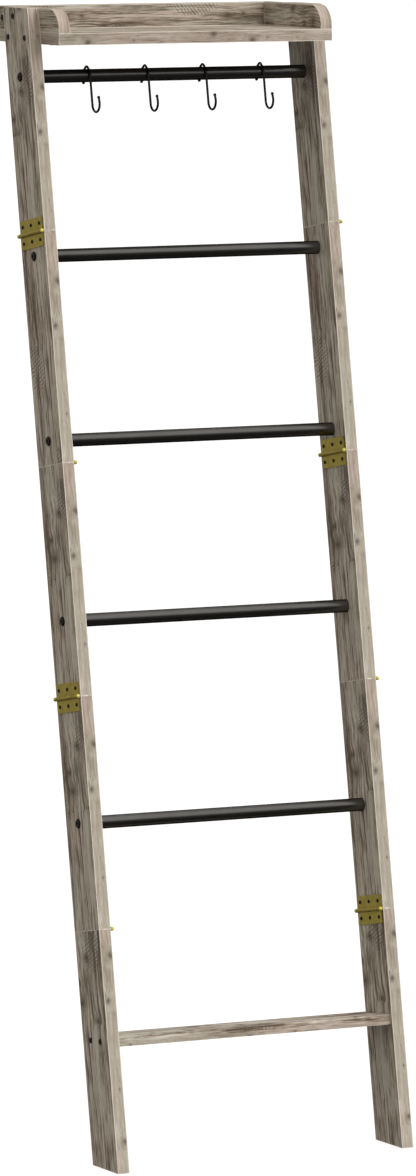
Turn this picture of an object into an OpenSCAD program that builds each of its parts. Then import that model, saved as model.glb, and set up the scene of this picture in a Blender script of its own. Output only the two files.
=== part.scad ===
// Leaning ladder rack for quilts and blankets.
//
// Two leaning rails, each made of five short boards joined end to end by
// butt hinges, carry a tray at the top, five round steel rungs and one flat
// wooden crossbar. Four wire hooks ride on the top rung.
//
// Frame: Z is up, the front faces -Y and the wall stands at +Y. The origin is
// on the floor, under the middle of the rack's bounding box. "left" is -X.
// Rail frame: Y runs through the rail's depth, 0 at the back edge and
// negative towards the front, and Z runs up along the rail.

/* [Rack] */
// Height from the floor to the top of the tray
rack_h = 1800; // [1740:10:1860]
// Clear width between the rails
inner_w = 482; // [440:2:560]
// Lean of the rails towards the wall, in degrees
lean = 10; // [8:0.5:12]

/* [Rails] */
// Thickness of the rail boards
rail_t = 20; // [16:1:24]
// Depth of the rail boards, square to their length
rail_d = 88; // [86:1:100]

/* [Tray] */
// Depth of the tray, front to back
tray_d = 216; // [200:2:240]
// Full height of the tray, shelf board included
tray_h = 56.5; // [50:0.5:70]
// Thickness of the shelf board
shelf_t = 19; // [15:0.5:22]
// Thickness of the tray's side and back boards
tray_t = 20; // [16:1:24]
// How far the tray stands out behind the rails
tray_behind = 54; // [30:1:70]
// Radius of the rounded front corner of the side boards
tray_corner_r = 36; // [10:1:36]

/* [Rungs] */
// Outer diameter of the rung tubes
rung_d = 21; // [18:1:22]
// Wall thickness of the rung tubes
rung_wall = 1.2; // [1:0.1:2]
// Distance from the rail's back edge to the rungs' centres
rung_back = 44; // [36:1:50]
// Height of rung 1 over the lowest joint
rung_1_up = 168; // [60:1:250]
// Height of rung 2 over the second joint
rung_2_up = 120; // [60:1:250]
// Height of rung 3 over the third joint
rung_3_up = 38; // [35:1:60]
// Depth of rung 4 under the top joint
rung_4_down = 36; // [36:1:60]
// Depth of rung 5 under the top of the rail
rung_5_down = 118; // [100:1:200]

/* [Crossbar] */
// Depth of the crossbar, front to back
crossbar_d = 78; // [50:1:80]
// Thickness of the crossbar
crossbar_t = 16; // [12:1:20]
// Height of the crossbar's centre along the rail
crossbar_up = 193; // [120:1:300]
// Tilt of the crossbar from square to the rail, in degrees
crossbar_tilt = 5.4; // [0:0.1:10]

/* [Hinges] */
// Length of the hinge leaves along the pin
hinge_w = 78; // [60:1:80]
// Height of one leaf from the pin's centre to its edge
leaf_h = 23; // [18:0.5:23]
// Thickness of the leaves
leaf_t = 1.6; // [1.2:0.1:2]
// Outer diameter of the knuckles
knuckle_d = 6.2; // [5.6:0.1:7]
// Diameter of the hinge pin
hinge_pin_d = 3; // [2:0.1:3.4]
// Diameter of the ball tips on the pin
ball_tip_d = 6.6; // [5:0.1:7.4]
// Spacing of the three screws in a leaf
leaf_screw_pitch = 30; // [20:1:32]
// Distance from the pin's centre to the row of screws
leaf_screw_up = 13; // [10:0.5:16]

/* [Hooks] */
// Diameter of the hook wire
wire_d = 3.8; // [3:0.1:4.5]
// Place of the leftmost hook across the rung, from the middle
first_hook_x = -145; // [-150:1:-140]
// Spacing of the hooks
hook_pitch = 102.5; // [80:0.5:103]
// Radius of the narrow crown above the rung, at the wire's centre
crown_r = 6; // [5:0.5:8]
// Depth of the hook's cup under the rung's centre, at the wire's centre
hook_drop = 56; // [50:1:80]
// Radius of the hook's cup, at the wire's centre
cup_r = 13; // [10:0.5:16]

/* [Fasteners] */
// Diameter of the rung bolts
bolt_d = 6; // [5:0.5:6]
// Diameter of the rung bolts' flat heads
bolt_head_d = 15; // [12:0.5:18]
// Diameter of the wood screws' heads
screw_head_d = 9.5; // [7:0.5:12]

/* [Hidden] */
$fn = 64;
eps = 0.01;
sections = 5;
rung_count = 5;
hook_count = 4;
leaf_screws = 3;
knuckles = 5;

// Clearances and small details
pin_gap = 0.05;         // round the hinge pin, and round every shank in its hole
knuckle_gap = 0.4;      // between neighbouring knuckles
barrel_gap = 0.1;       // between the wood and the widest part of a hinge's barrel
hook_gap = 0.3;         // between a hook and the rung
bolt_l = 34;            // from under the head to the tip
bolt_head_h = 2.4;
plug_l = 18;            // of the threaded plugs in the tube ends
screw_d = 4.4;
screw_l = 50;
side_screw_l = 36;
base_screw_l = 42;
screw_head_h = 1;
leaf_screw_d = 2.8;
leaf_screw_l = 14;
leaf_screw_head_d = 6;
leaf_screw_head_h = 1.1;
leaf_hole_gap = 0.15;   // round a hinge screw in its leaf
ball_out = 2.6;         // a ball tip's centre past the end of the knuckles
recess_w = 0.9;         // width and depth of a cross recess
recess_deep = 0.6;
socket_w = 4.6;         // hexagon socket across its corners, and what is left under it
socket_floor = 0.4;

// Rails
rail_l = rack_h / cos(lean);
section_l = rail_l / sections;
foot_slope = tan(lean);
foot_y = (rail_d / cos(lean) - rack_h * tan(lean) - tray_behind) / 2;
rung_up = [
    section_l + rung_1_up,
    2 * section_l + rung_2_up,
    3 * section_l + rung_3_up,
    4 * section_l - rung_4_down,
    rail_l - rung_5_down
];
hinge_back = rail_d / 2;
pin_x = barrel_gap + max(knuckle_d, ball_tip_d) / 2;    // pin's centre, out from the wood
crossbar_back = rail_d / 2;
crossbar_screw_pitch = 34;

// Tray
tray_back_y = foot_y + rack_h * tan(lean) + tray_behind;
tray_front_y = tray_back_y - tray_d;
shelf_z = rack_h - tray_h;
side_z = shelf_z + shelf_t;
side_h = tray_h - shelf_t;
corner_r = min(tray_corner_r, side_h - 1);
shelf_screw_z = shelf_z + shelf_t / 2;
rail_back_y = foot_y + shelf_screw_z * tan(lean);
shelf_screw_y = [rail_back_y - 12, rail_back_y - 71];
side_screw = [rail_back_y - 28, rack_h - 14];
back_screw = [tray_back_y - tray_t / 2, side_z + side_h / 2];
base_screw_y = [tray_front_y + 44, tray_front_y + 172];
base_screw_x = inner_w / 2 - tray_t / 2;
back_base_screw_x = 120;

// Hooks
hook_lean = 10;         // forward slope of the hook's front leg
tail_lean = 8;          // inward slope of the hook's short back leg
tail_l = 10;
tip_l = 6;
tip_turn = 203;         // how far the cup's arc turns before its straight tip
tip_d = 5;
bend_swell = 0.08;      // how much a bend is wider than the wire
saddle_r = rung_d / 2 + hook_gap + wire_d / 2;
crown_z = 8.6;          // centre of the narrow crown over the rung's centre
shoulder = asin((saddle_r - crown_r) / crown_z);
shoulder_l = crown_z * cos(shoulder);
leg_l = (hook_drop - cup_r + (saddle_r + cup_r) * sin(hook_lean)) / cos(hook_lean);

// Colours
wood = "#a89c8e";
edge_wood = "#b8ac9e";
black = "#1b1b1c";
brass = "#a5922c";
steel = "#8a8c8e";

SIDES = ["left", "right"];

// World place of a point given in the rail frame.
function world_y(depth, up) = foot_y + depth * cos(lean) + up * sin(lean);
function world_z(depth, up) = up * cos(lean) - depth * sin(lean);

// Odd joints have their hinges between the rails, even joints outside them.
function hinge_inside(joint) = joint % 2 == 1;

// ---- Frames -------------------------------------------------------------

module on_side(side) {
    if (side == "left")
        mirror([1, 0, 0]) children();
    else
        children();
}

module on_rail() {
    translate([0, foot_y, 0])
        rotate([-lean, 0, 0])
            children();
}

// Local X points out of the wood, Y along the pin and Z up the rail.
module at_hinge(side, joint) {
    on_side(side)
        on_rail()
            translate([0, -hinge_back, joint * section_l])
                if (hinge_inside(joint))
                    translate([inner_w / 2, 0, 0]) mirror([1, 0, 0]) children();
                else
                    translate([inner_w / 2 + rail_t, 0, 0]) children();
}

// A YZ outline, given as XY points, extruded along +X.
module yz_extrude(length) {
    rotate([90, 0, 90])
        linear_extrude(length)
            children();
}

module x_rod(d, length) {
    rotate([0, 90, 0])
        cylinder(d = d, h = length);
}

// ---- Fasteners: head on +X, shank along -X ------------------------------

module head_profile(d, h) {
    rotate([0, 90, 0])
        rotate_extrude()
            polygon([[0, 0], [d / 2, 0], [d / 2, 0.45 * h], [0.4 * d, h], [0, h]]);
}

module hex_bolt() {
    difference() {
        union() {
            head_profile(bolt_head_d, bolt_head_h);
            translate([-bolt_l, 0, 0])
                x_rod(bolt_d, bolt_l);
        }
        translate([socket_floor, 0, 0])
            rotate([0, 90, 0])
                cylinder(d = socket_w, h = bolt_head_h, $fn = 6);
    }
}

module cross_screw(d, length, head_d, head_h) {
    difference() {
        union() {
            head_profile(head_d, head_h);
            translate([-length, 0, 0])
                x_rod(d, length);
        }
        for (turn = [0, 90])
            rotate([turn, 0, 0])
                translate([head_h - recess_deep, -head_d * 0.28, -recess_w / 2])
                    cube([head_h, head_d * 0.56, recess_w]);
    }
}

module wood_screw(length) {
    cross_screw(screw_d, length, screw_head_d, screw_head_h);
}

// Hole for a shank that enters at the local origin and runs along -X.
module shank_hole(d, length) {
    translate([-length, 0, 0])
        x_rod(d + 2 * pin_gap, length + eps);
}

// ---- Where the fasteners sit, on the +X side -----------------------------

module at_rung_bolt(n) {
    on_rail()
        translate([inner_w / 2 + rail_t, -rung_back, rung_up[n - 1]])
            children();
}

module at_crossbar_screws() {
    on_rail()
        translate([inner_w / 2 + rail_t, -crossbar_back, crossbar_up])
            rotate([crossbar_tilt, 0, 0])
                for (end = [-1, 1])
                    translate([0, end * crossbar_screw_pitch / 2, 0])
                        children();
}

module at_shelf_screws() {
    for (y = shelf_screw_y)
        translate([inner_w / 2 + rail_t, y, shelf_screw_z])
            children();
}

module at_side_screw() {
    translate([inner_w / 2 + rail_t, side_screw.x, side_screw.y])
        children();
}

module at_back_screw() {
    translate([inner_w / 2, back_screw.x, back_screw.y])
        children();
}

// Local X points down, out of the shelf's underside.
module at_base_screws() {
    for (y = base_screw_y)
        translate([base_screw_x, y, shelf_z])
            rotate([0, 90, 0])
                children();
    translate([back_base_screw_x, tray_back_y - tray_t / 2, shelf_z])
        rotate([0, 90, 0])
            children();
}

module at_leaf_screws(up) {
    for (k = [0 : leaf_screws - 1])
        translate([leaf_t, (k - 1) * leaf_screw_pitch, up * leaf_screw_up])
            children();
}

// ---- Rails ---------------------------------------------------------------

module rail_board(n) {
    foot = n == 1 ? foot_slope * rail_d : 0;
    top = n == sections ? foot_slope * rail_d : 0;
    low = (n - 1) * section_l;
    high = n * section_l;
    translate([inner_w / 2, 0, 0])
        yz_extrude(rail_t)
            polygon([[0, low], [-rail_d, low - foot], [-rail_d, high - top], [0, high]]);
}

module rail_section(side, n) {
    low = (n - 1) * section_l;
    high = n * section_l;
    color(wood)
        difference() {
            on_side(side) difference() {
                on_rail() rail_board(n);
                for (k = [1 : rung_count])
                    if (rung_up[k - 1] > low && rung_up[k - 1] < high)
                        at_rung_bolt(k) shank_hole(bolt_d, bolt_l);
                if (n == 1)
                    at_crossbar_screws() shank_hole(screw_d, screw_l);
                if (n == sections) {
                    at_shelf_screws() shank_hole(screw_d, screw_l);
                    at_side_screw() shank_hole(screw_d, screw_l);
                }
            }
            if (n < sections)
                at_hinge(side, n) at_leaf_screws(-1) leaf_screw_hole();
            if (n > 1)
                at_hinge(side, n - 1) at_leaf_screws(1) leaf_screw_hole();
        }
}

// ---- Tray ----------------------------------------------------------------

module shelf_board() {
    color(wood)
        difference() {
            translate([-inner_w / 2, tray_front_y, shelf_z])
                cube([inner_w, tray_d, shelf_t]);
            for (side = SIDES)
                on_side(side) {
                    at_shelf_screws() shank_hole(screw_d, screw_l + 1);
                    at_base_screws() shank_hole(screw_d, base_screw_l);
                }
        }
}

// What is cut away outside the rounded front corner.
module corner_waste() {
    difference() {
        translate([-1, -corner_r - 1, 0])
            cube([tray_t + 2, corner_r + 1, corner_r + 1]);
        translate([-2, 0, 0])
            x_rod(2 * corner_r, tray_t + 4);
    }
}

module tray_side(side) {
    color(wood)
        on_side(side)
            difference() {
                translate([inner_w / 2 - tray_t, tray_front_y, side_z])
                    difference() {
                        cube([tray_t, tray_d, side_h]);
                        translate([0, corner_r, side_h - corner_r])
                            corner_waste();
                    }
                at_side_screw() shank_hole(screw_d, side_screw_l + 1);
                at_back_screw() shank_hole(screw_d, screw_l);
                at_base_screws() shank_hole(screw_d, base_screw_l + 1);
            }
}

module tray_back() {
    color(wood)
        difference() {
            translate([tray_t - inner_w / 2, tray_back_y - tray_t, side_z])
                cube([inner_w - 2 * tray_t, tray_t, side_h]);
            for (side = SIDES)
                on_side(side) {
                    at_back_screw() shank_hole(screw_d, screw_l + 1);
                    at_base_screws() shank_hole(screw_d, base_screw_l + 1);
                }
        }
}

module shelf_screws() {
    color(black)
        for (side = SIDES)
            on_side(side) at_shelf_screws() wood_screw(screw_l);
}

module tray_side_screws() {
    color(black)
        for (side = SIDES)
            on_side(side) {
                at_side_screw() wood_screw(side_screw_l);
                at_back_screw() wood_screw(screw_l);
            }
}

module tray_base_screws() {
    color(black)
        for (side = SIDES)
            on_side(side) at_base_screws() wood_screw(base_screw_l);
}

// ---- Rungs ---------------------------------------------------------------

module rung(n) {
    color(black)
        on_rail()
            translate([-inner_w / 2, -rung_back, rung_up[n - 1]])
                difference() {
                    x_rod(rung_d, inner_w);
                    translate([-1, 0, 0])
                        x_rod(rung_d - 2 * rung_wall, inner_w + 2);
                }
}

// Threaded plugs pressed into the tube ends, which take the bolts.
module rung_end_plugs() {
    color(steel)
        for (side = SIDES)
            for (n = [1 : rung_count])
                on_side(side)
                    at_rung_bolt(n)
                        translate([-rail_t - plug_l, 0, 0])
                            difference() {
                                x_rod(rung_d - 2 * rung_wall - 2 * pin_gap, plug_l);
                                translate([-1, 0, 0])
                                    x_rod(bolt_d + 2 * pin_gap, plug_l + 2);
                            }
}

module rung_bolts(side) {
    color(black)
        on_side(side)
            for (n = [1 : rung_count])
                at_rung_bolt(n) hex_bolt();
}

// ---- Crossbar ------------------------------------------------------------

module crossbar() {
    color(edge_wood)
        difference() {
            on_rail()
                translate([0, -crossbar_back, crossbar_up])
                    rotate([crossbar_tilt, 0, 0])
                        translate([-inner_w / 2, -crossbar_d / 2, -crossbar_t / 2])
                            cube([inner_w, crossbar_d, crossbar_t]);
            for (side = SIDES)
                on_side(side) at_crossbar_screws() shank_hole(screw_d, screw_l + 1);
        }
}

module crossbar_screws() {
    color(black)
        for (side = SIDES)
            on_side(side) at_crossbar_screws() wood_screw(screw_l);
}

// ---- Hinges: local X out of the wood, Y along the pin, Z up the rail -----

module knuckle(k) {
    pitch = hinge_w / knuckles;
    translate([0, k * pitch - hinge_w / 2 + knuckle_gap / 2, 0])
        difference() {
            union() {
                translate([pin_x, 0, 0])
                    rotate([-90, 0, 0])
                        cylinder(d = knuckle_d, h = pitch - knuckle_gap);
                cube([leaf_t, pitch - knuckle_gap, knuckle_d / 2 + 1]);
            }
            translate([pin_x, -1, 0])
                rotate([-90, 0, 0])
                    cylinder(d = hinge_pin_d + 2 * pin_gap, h = pitch + 2);
        }
}

// The upper leaf carries the odd knuckles, the lower leaf the even ones.
module hinge_leaf(side, joint, up) {
    plate_z = knuckle_d / 2 + knuckle_gap;
    first = up > 0 ? 0 : 1;
    color(brass)
        at_hinge(side, joint)
            mirror([0, 0, up > 0 ? 0 : 1])
                difference() {
                    union() {
                        translate([0, -hinge_w / 2, plate_z])
                            cube([leaf_t, hinge_w, leaf_h - plate_z]);
                        for (k = [first : 2 : knuckles - 1])
                            knuckle(k);
                    }
                    at_leaf_screws(1)
                        translate([-leaf_t - 1, 0, 0])
                            x_rod(leaf_screw_d + 2 * leaf_hole_gap, leaf_t + 2);
                }
}

module hinge_pin(side, joint) {
    tip_y = hinge_w / 2;
    ball_y = tip_y + ball_out;
    color(brass)
        at_hinge(side, joint)
            translate([pin_x, 0, 0]) {
                translate([0, -ball_y, 0])
                    rotate([-90, 0, 0])
                        cylinder(d = hinge_pin_d, h = 2 * ball_y);
                for (end = [0, 1])
                    mirror([0, end, 0])
                        intersection() {
                            translate([0, ball_y, 0])
                                sphere(d = ball_tip_d);
                            translate([-ball_tip_d, tip_y + knuckle_gap / 2, -ball_tip_d])
                                cube(2 * ball_tip_d);
                        }
            }
}

module leaf_screw_hole() {
    shank_hole(leaf_screw_d, leaf_t + leaf_screw_l + 1);
}

module hinge_screws(side) {
    color(black)
        for (joint = [1 : sections - 1])
            at_hinge(side, joint)
                for (up = [-1, 1])
                    at_leaf_screws(up)
                        cross_screw(leaf_screw_d, leaf_t + leaf_screw_l,
                            leaf_screw_head_d, leaf_screw_head_h);
}

// ---- Hooks: drawn in XY, X towards the wall and Y up ---------------------

// Bent wire from angle a0 to a1 round the local origin.
module wire_arc(r, a0, a1) {
    rotate([0, 0, a0])
        rotate_extrude(angle = a1 - a0)
            translate([r, 0])
                circle(d = wire_d, $fn = 24);
}

// Straight wire that leaves the arc of radius r at angle a, clockwise for turn = -1.
// A ball a hair wider than the wire joins each end to its neighbour.
module wire_leg(r, a, turn, length) {
    rotate([0, 0, a])
        translate([r, 0, 0])
            rotate([-90 * turn, 0, 0]) {
                cylinder(d = wire_d, h = length, $fn = 24);
                for (z = [0, length])
                    translate([0, 0, z])
                        sphere(d = wire_d + bend_swell, $fn = 32);
            }
}

module wire_tip(r, a, turn, length) {
    rotate([0, 0, a])
        translate([r, turn * length, 0])
            sphere(d = tip_d, $fn = 32);
}

module hook_wire() {
    front = 180 - hook_lean;
    leg_end = [
        -saddle_r * cos(hook_lean) - leg_l * sin(hook_lean),
        saddle_r * sin(hook_lean) - leg_l * cos(hook_lean)
    ];
    cup = leg_end + cup_r * [-cos(hook_lean), sin(hook_lean)];
    wire_tip(saddle_r, -tail_lean, -1, tail_l);
    wire_leg(saddle_r, -tail_lean, -1, tail_l);
    wire_arc(saddle_r, -tail_lean, shoulder);
    wire_leg(saddle_r, shoulder, 1, shoulder_l);
    translate([0, crown_z, 0])
        wire_arc(crown_r, shoulder, 180 - shoulder);
    wire_leg(saddle_r, 180 - shoulder, -1, shoulder_l);
    wire_arc(saddle_r, 180 - shoulder, front);
    wire_leg(saddle_r, front, 1, leg_l);
    translate([cup.x, cup.y, 0]) {
        wire_arc(cup_r, -tip_turn, -hook_lean);
        wire_leg(cup_r, -tip_turn, -1, tip_l);
        wire_tip(cup_r, -tip_turn, -1, tip_l);
    }
}

module hook(n) {
    top_rung = rung_up[rung_count - 1];
    color(black)
        translate([
            first_hook_x + (n - 1) * hook_pitch,
            world_y(-rung_back, top_rung),
            world_z(-rung_back, top_rung)
        ])
            rotate([90, 0, 90])
                hook_wire();
}

// ---- Assembly ------------------------------------------------------------

for (side = SIDES)
    for (n = [1 : sections])
        rail_section(side, n);
shelf_board();
tray_back();
tray_side("left");  // tray_side_left
tray_side("right");  // tray_side_right
for (n = [1 : rung_count])
    rung(n);
rung_end_plugs();
rung_bolts("left");  // left_rung_bolts
rung_bolts("right");  // right_rung_bolts
crossbar();
crossbar_screws();
shelf_screws();
tray_side_screws();
tray_base_screws();
for (side = SIDES)
    for (n = [1 : sections - 1]) {
        hinge_leaf(side, n, 1);
        hinge_leaf(side, n, -1);
        hinge_pin(side, n);
    }
hinge_screws("left");  // left_hinge_screws
hinge_screws("right");  // right_hinge_screws
for (n = [1 : hook_count])
    hook(n);
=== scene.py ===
"""Looks of the leaning quilt rack: camera, studio, and a procedural material for every CAD node."""

import math

import bpy
from mathutils import Matrix, Vector

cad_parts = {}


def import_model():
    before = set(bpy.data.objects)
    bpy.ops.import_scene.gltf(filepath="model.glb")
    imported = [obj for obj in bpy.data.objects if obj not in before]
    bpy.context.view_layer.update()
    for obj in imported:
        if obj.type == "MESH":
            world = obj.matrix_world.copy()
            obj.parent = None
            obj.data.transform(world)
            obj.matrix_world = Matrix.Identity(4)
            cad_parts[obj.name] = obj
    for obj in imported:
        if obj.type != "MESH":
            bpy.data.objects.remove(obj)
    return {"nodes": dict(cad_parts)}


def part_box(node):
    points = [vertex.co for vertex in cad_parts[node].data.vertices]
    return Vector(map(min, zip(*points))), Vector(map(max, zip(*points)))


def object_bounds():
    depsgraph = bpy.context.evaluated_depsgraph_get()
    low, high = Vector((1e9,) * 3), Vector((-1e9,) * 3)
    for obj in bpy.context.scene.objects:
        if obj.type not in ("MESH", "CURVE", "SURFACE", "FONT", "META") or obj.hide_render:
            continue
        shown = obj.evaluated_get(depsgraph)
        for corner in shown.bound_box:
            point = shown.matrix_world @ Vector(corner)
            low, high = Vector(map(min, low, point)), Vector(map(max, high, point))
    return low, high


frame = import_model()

CAD_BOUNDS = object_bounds()
NODES = frame["nodes"]

# The rack, in metres and radians
LEAN = math.radians(10)
RAIL_D = 0.088
RAIL_T = 0.020
SECTIONS = 5
CORNER_R = 0.036        # front corners of the tray's sides
RACK_H = CAD_BOUNDS[1][2]
PRINT_PERIOD = 0.29     # the printed marks repeat along the board
CALM_FADE = 0.03        # at the ends of a stretch without marks
EDGE_SOFTNESS = 0.0006  # round on the boards' edges
BUMP_STRENGTH = 0.5


# ---- Shader building -------------------------------------------------------


class Graph:
    """Adds nodes to a node tree and links them; an argument is a socket or a plain value."""

    def __init__(self, tree):
        self.tree = tree

    def add(self, kind, **settings):
        node = self.tree.nodes.new("ShaderNode" + kind)
        for key, value in settings.items():
            setattr(node, key, value)
        return node

    def put(self, socket, value):
        if isinstance(value, bpy.types.NodeSocket):
            self.tree.links.new(value, socket)
        elif value is not None:
            socket.default_value = value

    def math(self, operation, a, b=None, c=None, clamp=False):
        node = self.add("Math", operation=operation, use_clamp=clamp)
        for socket, value in zip(node.inputs, (a, b, c)):
            self.put(socket, value)
        return node.outputs[0]

    def vector(self, operation, a, b=None):
        node = self.add("VectorMath", operation=operation)
        self.put(node.inputs[0], a)
        if operation == "SCALE":
            self.put(node.inputs["Scale"], b)
        else:
            self.put(node.inputs[1], b)
        return node.outputs["Value" if operation == "LENGTH" else "Vector"]

    def split(self, vector):
        node = self.add("SeparateXYZ")
        self.put(node.inputs[0], vector)
        return node.outputs

    def join(self, x, y, z):
        node = self.add("CombineXYZ")
        for socket, value in zip(node.inputs, (x, y, z)):
            self.put(socket, value)
        return node.outputs[0]

    def ramp(self, value, low, high, out_low=0.0, out_high=1.0, smooth=True):
        node = self.add("MapRange", interpolation_type="SMOOTHSTEP" if smooth else "LINEAR")
        for socket, v in zip(node.inputs, (value, low, high, out_low, out_high)):
            self.put(socket, v)
        return node.outputs[0]

    def noise(self, vector, scale=1.0, detail=2.0, roughness=0.5):
        node = self.add("TexNoise")
        for name, v in (("Vector", vector), ("Scale", scale), ("Detail", detail), ("Roughness", roughness)):
            self.put(node.inputs[name], v)
        return node.outputs["Fac"]

    def mix(self, factor, a, b, blend="MIX"):
        node = self.add("Mix", data_type="RGBA", blend_type=blend, clamp_factor=True)
        for socket, v in zip((node.inputs[0], node.inputs[6], node.inputs[7]), (factor, a, b)):
            self.put(socket, v)
        return node.outputs[2]

    def stops(self, value, *stops):
        """A colour ramp from (position, colour) stops."""
        node = self.add("ValToRGB")
        ramp = node.color_ramp
        while len(ramp.elements) < len(stops):
            ramp.elements.new(0.5)
        for element, (position, colour) in zip(ramp.elements, stops):
            element.position, element.color = position, colour
        self.put(node.inputs[0], value)
        return node.outputs[0]

    def bump(self, height, distance):
        node = self.add("Bump")
        self.put(node.inputs["Height"], height)
        self.put(node.inputs["Distance"], distance)
        self.put(node.inputs["Strength"], BUMP_STRENGTH)
        return node.outputs["Normal"]


def srgb(red, green, blue):
    """A linear colour from 0-255 display values."""

    def linear(v):
        return ((v / 255 + 0.055) / 1.055) ** 2.4 if v > 10 else v / 255 / 12.92

    return (linear(red), linear(green), linear(blue), 1.0)


def material(name):
    """A new material: its graph and its Principled shader."""
    made = bpy.data.materials.new(name)
    made.use_nodes = True
    made.node_tree.nodes.clear()
    graph = Graph(made.node_tree)
    shader = graph.add("BsdfPrincipled")
    output = graph.add("OutputMaterial")
    graph.put(output.inputs["Surface"], shader.outputs[0])
    return made, graph, shader


def object_point(graph):
    return graph.add("TexCoord").outputs["Object"]


# ---- Board print: grain along Z, width along Y, thickness along X -----------

# Knots as (thickness, width, along, radius), in millimetres. Those of the wide faces show on both faces.
FACE_KNOTS = (
    (None, -61, -2, 7.5),
    (None, -33, 219, 8.0),
    (None, -27, 248, 4.5),
    (None, -86, 188, 6.0),
    (None, -76, 128, 4.0),
)
EDGE_KNOTS = (
    (16.5, -90, -2, 6.5),
    (6.0, -90, 219, 7.0),
    (14.0, -90, 80, 3.0),
)
KNOT_SQUEEZE = (1.25, 0.66, 1)      # knots are wider across the face than along it
FAR = 50.0              # in knot radii, where a knot has no effect
END_STRIP = (0.4, 0.3, 0.2)         # the place in the print of the strips on the boards' ends, in metres
# Slanted saw marks and grey stains: (width, along, half width, half length), in millimetres
SAW_MARKS = ((-6, 158, 31, 48), (-88, 10, 38, 34))
STAINS = ((-72, 30, 13, 30), (-50, 252, 10, 24), (-8, 60, 9, 60))


def print_group():
    """The wood-grain print as a node group: point in metres -> colour, roughness and height.

    Face is 1 on a wide face and 0 on an edge. Busy is 0 where knots, stains and saw marks are left out.
    """
    tree = bpy.data.node_groups.new("board_print", "ShaderNodeTree")
    tree.interface.new_socket("Point", in_out="INPUT", socket_type="NodeSocketVector")
    tree.interface.new_socket("Face", in_out="INPUT", socket_type="NodeSocketFloat")
    tree.interface.new_socket("Busy", in_out="INPUT", socket_type="NodeSocketFloat")
    tree.interface.new_socket("Color", in_out="OUTPUT", socket_type="NodeSocketColor")
    tree.interface.new_socket("Roughness", in_out="OUTPUT", socket_type="NodeSocketFloat")
    tree.interface.new_socket("Height", in_out="OUTPUT", socket_type="NodeSocketFloat")
    g = Graph(tree)
    inputs = tree.nodes.new("NodeGroupInput").outputs
    source, face, busy = inputs["Point"], inputs["Face"], inputs["Busy"]
    sink = tree.nodes.new("NodeGroupOutput")
    x, y, z = g.split(source)
    blotch = g.noise(g.vector("MULTIPLY", source, (60, 75, 55)), detail=3, roughness=0.6)

    def past(along):
        """How far the point is past one place of the repeating print."""
        return g.math("WRAP", g.math("SUBTRACT", z, along), PRINT_PERIOD / 2, -PRINT_PERIOD / 2)

    # distance to the nearest knot, in knot radii
    uneven = g.math("MULTIPLY_ADD", blotch, 0.010, -0.005)
    hidden = g.math("MULTIPLY_ADD", busy, -FAR, FAR)
    nearest = FAR
    for off, knots in ((g.math("SUBTRACT", 1.0, face), FACE_KNOTS), (face, EDGE_KNOTS)):
        for across, wide, along, radius in knots:
            dx = g.math("SUBTRACT", x, across / 1000) if across is not None else 0.0
            dy = g.math("ADD", g.math("SUBTRACT", y, wide / 1000), uneven)
            place = g.join(dx, dy, g.math("ADD", past(along / 1000), uneven))
            away = g.vector("LENGTH", g.vector("MULTIPLY", place, KNOT_SQUEEZE))
            away = g.math("DIVIDE", away, radius / 1000)
            away = g.math("ADD", away, g.math("MULTIPLY_ADD", off, FAR, hidden))
            nearest = g.math("MINIMUM", nearest, away)
    pull = g.ramp(nearest, 0.0, 4.5, 1.0, 0.0)

    # grain lines wander, and bend round the knots
    drift = g.noise(g.vector("MULTIPLY", source, (7, 14, 3.6)), detail=2)
    bend = g.math("ADD", g.math("MULTIPLY", drift, 0.012), g.math("MULTIPLY", pull, 0.005))
    warped = g.join(x, g.math("ADD", y, bend), z)
    wide_band = g.noise(g.vector("MULTIPLY", warped, (42, 52, 5)), detail=2)
    streak = g.noise(g.vector("MULTIPLY", warped, (200, 210, 11)), detail=4, roughness=0.65)
    fibre = g.noise(g.vector("MULTIPLY", warped, (480, 520, 34)), detail=3, roughness=0.65)
    dashes = g.noise(g.vector("MULTIPLY", warped, (330, 300, 42)), detail=2)

    # calmer on the edges than on the wide faces
    tone = g.math("MULTIPLY", g.math("SUBTRACT", wide_band, 0.5), 1.1)
    tone = g.math("MULTIPLY_ADD", g.math("SUBTRACT", streak, 0.5), 1.7, tone)
    tone = g.math("MULTIPLY_ADD", g.math("SUBTRACT", fibre, 0.5), 1.1, tone)
    tone = g.math("MULTIPLY_ADD", g.math("SUBTRACT", blotch, 0.5), 0.3, tone)
    tone = g.math("MULTIPLY_ADD", tone, g.math("MULTIPLY_ADD", face, 1.05, 0.5), 0.5, clamp=True)
    colour = g.stops(
        tone,
        (0.08, srgb(84, 71, 58)),
        (0.34, srgb(134, 121, 107)),
        (0.56, srgb(161, 150, 138)),
        (0.9, srgb(188, 180, 169)),
    )
    # weathered grey-green bands between the warm ones
    grey = g.noise(g.vector("MULTIPLY", warped, (30, 48, 4.2)), detail=2)
    colour = g.mix(g.ramp(grey, 0.47, 0.62, 0.0, 0.75), colour, srgb(238, 247, 242), "MULTIPLY")
    # short dark dashes, in patches
    patch = g.ramp(blotch, 0.42, 0.62)
    dash = g.math("MULTIPLY", g.ramp(dashes, 0.6, 0.7), patch)
    colour = g.mix(g.math("MULTIPLY", dash, 0.6), colour, srgb(76, 65, 54))

    def region(spot):
        """1 inside one oval of the print, with a ragged rim."""
        wide, along, half_wide, half_long = (v / 1000 for v in spot)
        across = g.math("DIVIDE", g.math("SUBTRACT", y, wide), half_wide)
        down = g.math("DIVIDE", past(along), half_long)
        away = g.vector("LENGTH", g.join(across, down, 0.0))
        away = g.math("ADD", away, g.math("MULTIPLY_ADD", blotch, 1.6, -0.8))
        return g.math("MULTIPLY", g.ramp(away, 0.55, 1.15, 1.0, 0.0), busy)

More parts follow.
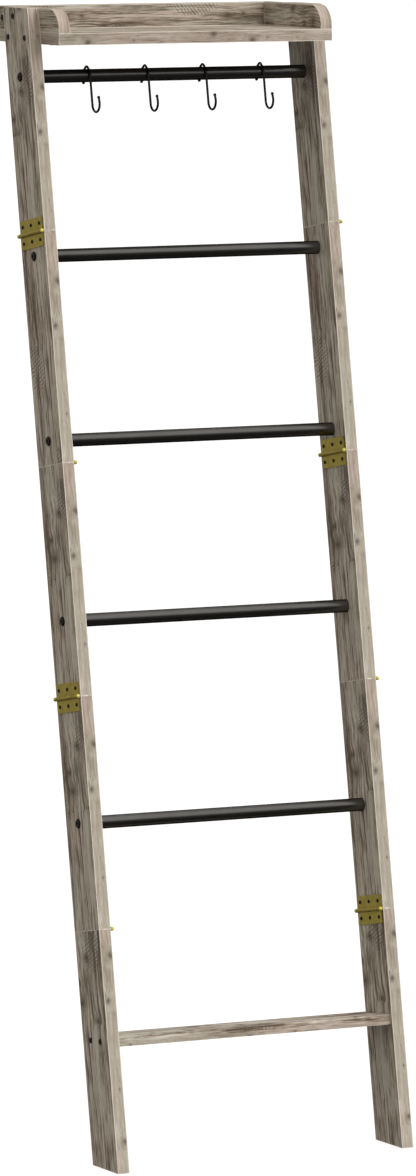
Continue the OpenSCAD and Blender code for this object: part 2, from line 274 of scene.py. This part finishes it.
    # grey-green stains beside the knots
    stain = g.math("MAXIMUM", region(STAINS[0]), g.math("MAXIMUM", region(STAINS[1]), region(STAINS[2])))
    stain = g.math("MULTIPLY", stain, g.math("MULTIPLY_ADD", face, 0.75, 0.25))
    stain = g.math("MULTIPLY", stain, g.ramp(streak, 0.62, 0.36, 0.25, 1.0))
    colour = g.mix(g.math("MULTIPLY", stain, 0.8), colour, srgb(88, 84, 73))
    # saw marks, slanted across the grain and broken by it
    slant = g.math("ADD", g.math("MULTIPLY", z, 980.0), g.math("MULTIPLY", y, 360.0))
    ripple = g.math("SINE", g.math("ADD", slant, g.math("MULTIPLY", blotch, 9.0)))
    sawn = g.math("MAXIMUM", region(SAW_MARKS[0]), region(SAW_MARKS[1]))
    marks = g.math("MULTIPLY", g.ramp(ripple, 0.0, 0.85), sawn)
    marks = g.math("MULTIPLY", marks, g.math("MULTIPLY", face, g.ramp(dashes, 0.36, 0.6, 0.3, 1.0)))
    colour = g.mix(g.math("MULTIPLY", marks, 0.85), colour, srgb(66, 58, 48))
    # knots: a dark heart, broken rings and a stained halo
    heart = g.ramp(nearest, 0.25, 1.15, 1.0, 0.0)
    halo = g.math("MULTIPLY", g.ramp(nearest, 0.9, 2.4, 1.0, 0.0), g.math("MULTIPLY_ADD", face, 0.4, 0.6))
    rings = g.math("SINE", g.math("MULTIPLY", nearest, 8.0))
    colour = g.mix(g.math("MULTIPLY", halo, 0.32), colour, srgb(100, 87, 74))
    ring_dark = g.math("MULTIPLY", g.ramp(rings, 0.2, 1.0), g.math("MULTIPLY", halo, g.ramp(fibre, 0.4, 0.6)))
    colour = g.mix(g.math("MULTIPLY", ring_dark, 0.5), colour, srgb(74, 62, 51))
    colour = g.mix(g.math("MULTIPLY", heart, 0.74), colour, srgb(72, 60, 50))

    rough = g.math("MULTIPLY_ADD", fibre, 0.16, 0.5)
    height = g.math("MULTIPLY_ADD", streak, 0.5, g.math("MULTIPLY", fibre, 0.5))
    height = g.math("SUBTRACT", height, g.math("MULTIPLY", g.math("ADD", dash, heart), 0.35))
    g.put(sink.inputs["Color"], colour)
    g.put(sink.inputs["Roughness"], rough)
    g.put(sink.inputs["Height"], height)
    return tree


def board_material(
    name, to_print, half, centre, start, fine=(1, 1, 1), tint_and_shade=(255, 255, 255), rounded=0.0, cut=None, calm=None
):
    """The print on one board.

    to_print turns the CAD axes into thickness, width and grain.
    half and centre are the board's half size and middle in those axes.
    start is where the board's middle lies in the print.
    fine shrinks the print along each axis, and tint darkens it: on the tray's back this darkening is painted
    shade for the tray's shaded inside.
    rounded is the length of a rounded front end.
    cut is "foot" or "top" on a rail that is sawn level there.
    calm is the stretch of the wide faces, from the board's lower end, that has no knots or marks.
    """
    made, g, shader = material(name)
    mapping = g.add("Mapping", vector_type="POINT")
    g.put(mapping.inputs["Vector"], object_point(g))
    mapping.inputs["Rotation"].default_value = to_print.to_euler()
    mapping.inputs["Location"].default_value = -Vector(centre)
    local = mapping.outputs[0]
    lx, ly, lz = g.split(local)
    gaps = [g.math("SUBTRACT", h, g.math("ABSOLUTE", v)) for v, h in zip((lx, ly, lz), half)]
    if cut:     # a rail's end that is sawn level
        level = g.split(object_point(g))[2]
        sawn = level if cut == "foot" else g.math("SUBTRACT", RACK_H, level)
        square = g.math("ADD" if cut == "top" else "SUBTRACT", half[2], lz)
        gaps[2] = g.math("MINIMUM", sawn, square)
    # the ends wear an edge strip, whose grain runs across the board
    strip = g.ramp(gaps[2], 0.0002, 0.0004, 1.0, 0.0, smooth=False)
    if rounded:
        front = g.ramp(lz, rounded - half[2] - 0.001, rounded - half[2], 1.0, 0.0)
        front = g.math("MULTIPLY", front, g.ramp(gaps[0], 0.0002, 0.0004))
        strip = g.math("MAXIMUM", strip, front)
    face = g.math("MULTIPLY", g.ramp(gaps[1], 0.0003, 0.0012), g.math("SUBTRACT", 1.0, strip))
    # both edges of a board carry the print's edge strip
    edge_y = g.math("MULTIPLY_ADD", gaps[1], fine[1], -RAIL_D)
    face_y = g.math("MULTIPLY_ADD", ly, fine[1], start[1])
    on_face = g.ramp(gaps[1], 0.0001, 0.0002)
    print_y = g.math("MULTIPLY_ADD", g.math("SUBTRACT", face_y, edge_y), on_face, edge_y)
    print_x = g.math("MULTIPLY_ADD", lx, fine[0], start[0])
    along = g.join(print_x, print_y, g.math("MULTIPLY_ADD", lz, fine[2], start[2]))
    across = g.vector("ADD", g.join(lx, 0.0, ly), END_STRIP)
    point = g.vector("ADD", along, g.vector("SCALE", g.vector("SUBTRACT", across, along), strip))
    group = g.add("Group", node_tree=PRINT)
    g.put(group.inputs["Point"], point)
    g.put(group.inputs["Face"], face)
    busy = 1.0
    if calm:
        height = g.math("ADD", lz, half[2])
        low, high = calm
        below = g.ramp(height, low, low + CALM_FADE, 1.0, 0.0)
        busy_face = g.math("MAXIMUM", below, g.ramp(height, high - CALM_FADE, high))
        busy_edge = g.ramp(height, 0.010, 0.022)    # no half knot at a joint
        busy = g.math("MULTIPLY_ADD", g.math("SUBTRACT", busy_face, busy_edge), face, busy_edge)
    g.put(group.inputs["Busy"], busy)
    # the whole board is multiplied by the tint; on the tray's back this is painted shade for the inside of the
    # tray that lies in shade
    colour = g.mix(1.0, group.outputs["Color"], srgb(*tint_and_shade), "MULTIPLY")
    # a painted highlight where two faces meet along the grain, and a pale chipped line at the ends
    arris_highlight = g.ramp(g.math("MAXIMUM", gaps[0], gaps[1]), 0.0006, 0.0016, 0.5, 0.0)
    chips = g.ramp(g.noise(object_point(g), scale=240.0, detail=2), 0.45, 0.62, 0.12, 0.8)
    rim = g.math("MAXIMUM", gaps[2], g.math("MINIMUM", gaps[0], gaps[1]))
    end = g.math("MULTIPLY", g.ramp(rim, 0.0004, 0.0011, 1.0, 0.0), chips)
    colour = g.mix(g.math("MAXIMUM", arris_highlight, end), colour, srgb(218, 210, 199))
    g.put(shader.inputs["Base Color"], colour)
    g.put(shader.inputs["Roughness"], group.outputs["Roughness"])
    g.put(shader.inputs["Normal"], g.bump(group.outputs["Height"], 0.0003))
    shader.inputs["Specular IOR Level"].default_value = 0.3
    return made


# ---- Metals ----------------------------------------------------------------


def coated_metal(name, colour, roughness, texture, depth, specular=0.5, edge=None):
    """Black coating with a fine skin: texture is its grain in 1/m, depth its height in metres.

    With an edge colour the coating is metallic and takes that colour towards its outline.
    """
    made, g, shader = material(name)
    point = object_point(g)
    skin = g.noise(point, scale=texture, detail=2)
    cloud = g.noise(point, scale=35.0, detail=3)
    tint_and_shade = g.math("MULTIPLY_ADD", cloud, 0.3, 0.85)
    g.put(shader.inputs["Base Color"], g.mix(1.0, colour, g.join(tint_and_shade, tint_and_shade, tint_and_shade), "MULTIPLY"))
    g.put(shader.inputs["Roughness"], g.math("MULTIPLY_ADD", skin, 0.1, roughness - 0.05))
    g.put(shader.inputs["Normal"], g.bump(skin, depth))
    shader.inputs["Specular IOR Level"].default_value = specular
    if edge:
        shader.inputs["Metallic"].default_value = 1.0
        shader.inputs["Specular Tint"].default_value = edge
    return made


def brass(name, metallic, colours):
    """Yellow passivated plate: olive, cloudy, with a fine roll grain."""
    made, g, shader = material(name)
    point = object_point(g)
    cloud = g.noise(point, scale=140.0, detail=4, roughness=0.65)
    grain = g.noise(g.vector("MULTIPLY", point, (900, 180, 1400)), detail=3)
    tone = g.math("MULTIPLY_ADD", grain, 0.35, g.math("MULTIPLY", cloud, 0.65))
    colour = g.stops(tone, *((place, srgb(*c)) for place, c in zip((0.3, 0.5, 0.72), colours)))
    g.put(shader.inputs["Base Color"], colour)
    g.put(shader.inputs["Roughness"], g.math("MULTIPLY_ADD", cloud, 0.25, 0.28))
    g.put(shader.inputs["Normal"], g.bump(grain, 0.00004))
    shader.inputs["Metallic"].default_value = metallic
    return made


def bare_steel():
    """Turned zinc-plated steel."""
    made, g, shader = material("plug_steel")
    point = object_point(g)
    turned = g.noise(g.vector("MULTIPLY", point, (1600, 120, 120)), detail=2)
    colour = g.stops(turned, (0.3, srgb(150, 152, 154)), (0.7, srgb(196, 197, 198)))
    g.put(shader.inputs["Base Color"], colour)
    g.put(shader.inputs["Roughness"], g.math("MULTIPLY_ADD", turned, 0.2, 0.25))
    g.put(shader.inputs["Normal"], g.bump(turned, 0.00005))
    shader.inputs["Metallic"].default_value = 1.0
    return made


# ---- Studio ----------------------------------------------------------------

CAMERA_YAW = math.radians(26.925)
CAMERA_PITCH = math.radians(6.061)
CAMERA_TARGET = Vector((0.0127, 0.0, 0.8817))
CAMERA_DISTANCE = 12.457
FOCAL = 240.62
SENSOR = 36.0
# World light, as radiance
SOFTBOX = 0.98
LEFT_WALL = 0.52
RIGHT_WALL = 0.08
FLOOR_GLOW = 0.9
# The floor, in metres
FLOOR_R = 40.0
WALL_CURVE = 15.0
WALL_H = 40.0
FLOOR_GAP = 0.0004      # under the feet


def camera():
    data = bpy.data.cameras.new("camera")
    data.sensor_width = SENSOR      # on the picture's long side
    data.lens = FOCAL
    data.clip_end = 400.0
    made = bpy.data.objects.new("camera", data)
    level = math.cos(CAMERA_PITCH)
    forward = Vector((math.sin(CAMERA_YAW) * level, math.cos(CAMERA_YAW) * level, -math.sin(CAMERA_PITCH)))
    made.location = CAMERA_TARGET - forward * CAMERA_DISTANCE
    made.rotation_euler = (math.pi / 2 - CAMERA_PITCH, 0.0, -CAMERA_YAW)
    bpy.context.scene.collection.objects.link(made)
    bpy.context.scene.camera = made


def sun(name, strength, angle, towards, colour=(1, 1, 1)):
    """A soft light with no mirror image of its own; towards points from the rack to the light."""
    data = bpy.data.lights.new(name, "SUN")
    data.energy = strength
    data.color = colour
    data.angle = math.radians(angle)
    made = bpy.data.objects.new(name, data)
    made.rotation_euler = Vector(towards).to_track_quat("Z", "Y").to_euler()
    made.visible_glossy = False
    bpy.context.scene.collection.objects.link(made)


def world():
    """Softbox overhead, white wall on the left, dark on the right and below."""
    made = bpy.data.worlds.new("studio")
    made.use_nodes = True
    made.node_tree.nodes.clear()
    g = Graph(made.node_tree)
    x, y, z = g.split(g.add("TexCoord").outputs["Generated"])
    low = g.ramp(x, -0.35, 0.3, LEFT_WALL, RIGHT_WALL)
    low = g.math("MULTIPLY", low, g.ramp(z, -0.5, 0.0, 0.45, 1.0))
    above = g.math("SUBTRACT", z, g.math("MULTIPLY", y, 0.14))
    light = g.math("MAXIMUM", low, g.ramp(above, 0.24, 0.44, 0.0, SOFTBOX))
    background = g.add("Background")
    warm = g.vector("MULTIPLY", g.join(light, light, light), (1.04, 0.99, 0.92))
    g.put(background.inputs["Color"], warm)
    output = g.add("OutputWorld")
    g.put(output.inputs["Surface"], background.outputs[0])
    bpy.context.scene.world = made


def floor():
    """A pale floor that curves up into a wall far away, all round. It is seen but lights nothing."""
    rings = [(0.0, 0.0), (FLOOR_R / 2, 0.0), (FLOOR_R, 0.0)]
    for k in range(1, 13):
        turn = math.pi / 2 * k / 12
        rings.append((FLOOR_R + WALL_CURVE * math.sin(turn), WALL_CURVE - WALL_CURVE * math.cos(turn)))
    rings.append((FLOOR_R + WALL_CURVE, WALL_H))
    sides = 96
    points = [(0.0, 0.0, 0.0)]
    for radius, height in rings[1:]:
        for k in range(sides):
            turn = 2 * math.pi * k / sides
            points.append((radius * math.cos(turn), radius * math.sin(turn), height))
    faces = [(0, 1 + k, 1 + (k + 1) % sides) for k in range(sides)]
    for ring in range(len(rings) - 2):
        inner = 1 + ring * sides
        outer = inner + sides
        faces += [(inner + k, outer + k, outer + (k + 1) % sides, inner + (k + 1) % sides) for k in range(sides)]
    mesh = bpy.data.meshes.new("floor")
    mesh.from_pydata(points, [], faces)
    mesh.polygons.foreach_set("use_smooth", [True] * len(mesh.polygons))
    made = bpy.data.objects.new("floor", mesh)
    made.location.z = -FLOOR_GAP
    bpy.context.scene.collection.objects.link(made)
    paint, g, shader = material("floor_white")
    mottle = g.noise(object_point(g), scale=3.0, detail=2)
    g.put(shader.inputs["Base Color"], g.stops(mottle, (0.3, srgb(96, 96, 96)), (0.7, srgb(100, 100, 100))))
    shader.inputs["Roughness"].default_value = 0.8
    shader.inputs["Emission Color"].default_value = (1, 1, 1, 1)
    shader.inputs["Emission Strength"].default_value = FLOOR_GLOW
    mesh.materials.append(paint)
    made.visible_diffuse = False
    made.visible_glossy = False
    made.visible_shadow = False


# ---- Putting it together ----------------------------------------------------


def paint(nodes, made):
    """Give CAD nodes one material."""
    for name in nodes:
        mesh = NODES[name].data
        for i in range(len(mesh.materials)):
            mesh.materials[i] = made


def soften(nodes):
    """A small round on the sharp edges of CAD nodes."""
    for name in nodes:
        node = NODES[name]
        weld = node.modifiers.new("weld", "WELD")
        weld.merge_threshold = 0.00001      # the mesh has a separate corner for each face
        bevel = node.modifiers.new("bevel", "BEVEL")
        bevel.width = EDGE_SOFTNESS
        bevel.segments = 2
        bevel.limit_method = "ANGLE"
        bevel.angle_limit = math.radians(35)
        bevel.use_clamp_overlap = True


def box_frame(name, to_print):
    """Half size and middle of a node's box, in its print axes."""
    low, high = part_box(name)
    a, b = to_print @ low, to_print @ high
    half = [abs(q - p) / 2 for p, q in zip(a, b)]
    return half, (a + b) / 2


PRINT = print_group()
FLAT_X = Matrix(((0, 0, -1), (0, 1, 0), (1, 0, 0)))     # a board lying along X
UPRIGHT_X = Matrix(((0, 1, 0), (0, 0, 1), (1, 0, 0)))   # a board standing along X
UPRIGHT_Y = Matrix.Rotation(math.pi / 2, 3, "X")
ALONG_RAIL = Matrix.Rotation(LEAN, 3, "X")

foot_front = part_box("left_rail_1")[0].y
foot = Vector((0.0, foot_front + RAIL_D / math.cos(LEAN), 0.0))
section = RACK_H / math.cos(LEAN) / SECTIONS
# For each rail section: how far the print is shifted across and along, and the calm stretch of its faces
PRINT_SHIFT = {1: (0.026, 0.035), 2: (0, 0), 3: (0, 0), 4: (-0.017, -0.004), 5: (0.017, -0.064)}
CALM = {1: (-0.03, 0.22), 2: (-0.03, 0.19), 3: (-0.03, 0.19), 4: (0.20, 0.45), 5: (-0.03, 0.16)}

for side in ("left", "right"):
    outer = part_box(f"{side}_rail_1")[0].x
    for n in range(1, SECTIONS + 1):
        middle = ALONG_RAIL @ Vector((outer + RAIL_T / 2, foot.y, 0.0))
        middle += Vector((0, -RAIL_D / 2, (n - 0.5) * section))
        half = (RAIL_T / 2, RAIL_D / 2, section / 2)
        across, along = PRINT_SHIFT[n]
        start = Vector((RAIL_T / 2, -RAIL_D / 2 - across, section / 2 - along))
        cut = {1: "foot", SECTIONS: "top"}.get(n)
        made = board_material(f"board_{side}_{n}", ALONG_RAIL, half, middle, start, cut=cut, calm=CALM[n])
        paint([f"{side}_rail_{n}"], made)

loose_boards = (        # node, print axes, place in the print, how much finer, tint (on the tray's back: painted shade)
    ("shelf_board", FLAT_X, (0.0105, 0.008, 0.48), (1, 1, 1), (252, 252, 252)),
    # the tray's back is darkened as painted shade for the shaded inside of the tray
    ("tray_back", UPRIGHT_X, (0.11, -0.030, 0.354), (1, 2.2, 1), (228, 226, 222)),
    ("tray_side_left", UPRIGHT_Y, (0.01, -0.044, 0.13), (1, 1.5, 1), (246, 244, 242)),
    ("tray_side_right", UPRIGHT_Y, (0.01, -0.044, 0.30), (1, 1.5, 1), (246, 244, 242)),
    ("crossbar", FLAT_X, (0.0105, -0.051, 0.30), (1, 1, 1), (255, 255, 255)),
)
for name, turn, start, fine, tint_and_shade in loose_boards:
    half, middle = box_frame(name, turn)
    rounded = CORNER_R if name.startswith("tray_side") else 0.0
    paint([name], board_material(f"board_{name}", turn, half, middle, start, fine, tint_and_shade, rounded))

soften([n for n in NODES if "_rail_" in n] + [board[0] for board in loose_boards])

rungs = [f"rung_{n}" for n in range(1, 6)]
hooks = [f"hook_{n}" for n in range(1, 5)]
hinges = [n for n in NODES if "_hinge_" in n and not n.endswith("screws")]
screws = [n for n in NODES if n.endswith("screws") or n.endswith("bolts")]
rung_grey = (0.15, 0.15, 0.152, 1)
paint(rungs, coated_metal("rung_black", rung_grey, 0.3, 1400.0, 0.00001, edge=(0.0, 0.0, 0.0, 1)))
paint(hooks, coated_metal("hook_black", srgb(12, 12, 13), 0.24, 1800.0, 0.00001, specular=0.25))
paint(screws, coated_metal("screw_black", srgb(8, 8, 8), 0.34, 2500.0, 0.00002, specular=0.1))
leaf_colours = ((126, 112, 34), (160, 145, 52), (188, 174, 80))
# the pins' brass is lighter than the leaves': painted highlight for the shine on the barrel and its ball tips
pin_highlight_colours = ((176, 164, 60), (206, 196, 90), (232, 224, 126))
paint([n for n in hinges if n.endswith("leaf")], brass("leaf_brass", 0.75, leaf_colours))
paint([n for n in hinges if n.endswith("pin")], brass("pin_brass_highlight", 0.45, pin_highlight_colours))
paint(["rung_end_plugs"], bare_steel())

camera()
world()
sun("key", 3.05, 50, (0.28, -0.85, 0.44), (0.99, 0.985, 1.02))
sun("back", 0.7, 60, (0.55, 0.75, 0.35))
floor()
bpy.context.scene.view_settings.view_transform = "Standard"
